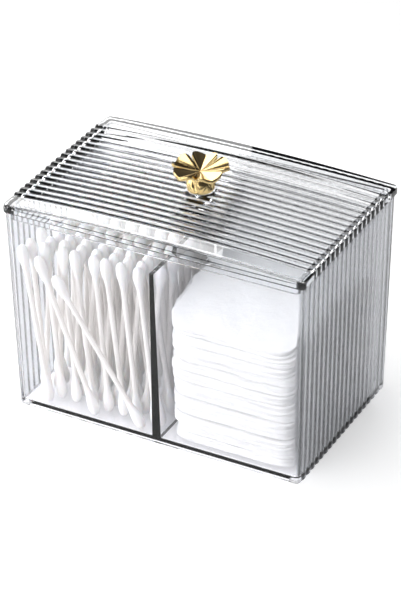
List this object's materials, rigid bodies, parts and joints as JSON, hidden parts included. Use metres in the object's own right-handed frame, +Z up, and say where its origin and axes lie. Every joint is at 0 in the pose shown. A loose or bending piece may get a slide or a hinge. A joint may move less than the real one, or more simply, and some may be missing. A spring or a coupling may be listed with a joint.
{
  "type": "cotton swab holder",
  "caption": "Clear two-compartment holder with fluted walls and a ribbed lift-off lid with a flower knob, filled with cotton swabs and square cotton pads.",
  "frame": {"origin": "on the table, under the middle of the box", "axes": "+X to the right across the two compartments, +Y to the back, +Z up; the plain front wall looks to -Y"},
  "size_m": [0.135, 0.087, 0.1094],
  "materials": {
    "clear_plastic": "clear polished moulding",
    "gold_plate": "polished gold plating",
    "steel": "zinc plated",
    "cotton_swab": "soft cotton on white paper stick",
    "cotton_pad": "soft matt cotton"
  },
  "bodies": {
    "box": {"box_body": "clear_plastic", "cotton_swab_1": "cotton_swab", "cotton_swab_2": "cotton_swab", "cotton_swab_3": "cotton_swab", "cotton_swab_4": "cotton_swab", "cotton_swab_5": "cotton_swab", "cotton_swab_6": "cotton_swab", "cotton_swab_7": "cotton_swab", "cotton_swab_8": "cotton_swab", "cotton_swab_9": "cotton_swab", "cotton_swab_10": "cotton_swab", "cotton_swab_11": "cotton_swab", "cotton_swab_12": "cotton_swab", "cotton_swab_13": "cotton_swab", "cotton_swab_14": "cotton_swab", "cotton_swab_15": "cotton_swab", "cotton_swab_16": "cotton_swab", "cotton_swab_17": "cotton_swab", "cotton_swab_18": "cotton_swab", "cotton_swab_19": "cotton_swab", "cotton_swab_20": "cotton_swab", "cotton_swab_21": "cotton_swab", "cotton_swab_22": "cotton_swab", "cotton_swab_23": "cotton_swab", "cotton_swab_24": "cotton_swab", "cotton_swab_25": "cotton_swab", "cotton_swab_26": "cotton_swab", "cotton_swab_27": "cotton_swab", "cotton_swab_28": "cotton_swab", "cotton_swab_29": "cotton_swab", "cotton_swab_30": "cotton_swab", "cotton_swab_31": "cotton_swab", "cotton_swab_32": "cotton_swab", "cotton_swab_33": "cotton_swab", "cotton_swab_34": "cotton_swab", "cotton_swab_row_6": "cotton_swab", "cotton_swab_row_7": "cotton_swab", "cotton_swab_row_8": "cotton_swab", "cotton_swab_row_9": "cotton_swab", "cotton_swab_row_10": "cotton_swab", "cotton_swab_row_11": "cotton_swab", "cotton_swab_row_12": "cotton_swab", "cotton_swab_row_13": "cotton_swab", "cotton_pad_1": "cotton_pad", "cotton_pad_2": "cotton_pad", "cotton_pad_3": "cotton_pad", "cotton_pad_4": "cotton_pad", "cotton_pad_5": "cotton_pad", "cotton_pad_6": "cotton_pad", "cotton_pad_7": "cotton_pad", "cotton_pad_8": "cotton_pad", "cotton_pad_9": "cotton_pad", "cotton_pad_10": "cotton_pad", "cotton_pad_11": "cotton_pad", "cotton_pad_12": "cotton_pad", "cotton_pad_13": "cotton_pad"},
    "lid": {"lid": "clear_plastic", "flower_knob": "gold_plate", "knob_screw": "steel"}
  },
  "joints": [
    {"name": "lid_lift", "type": "slide", "parent": "box", "child": "lid", "axis": [0, 0, 1], "range_m": [0, 0.1]}
  ]
}
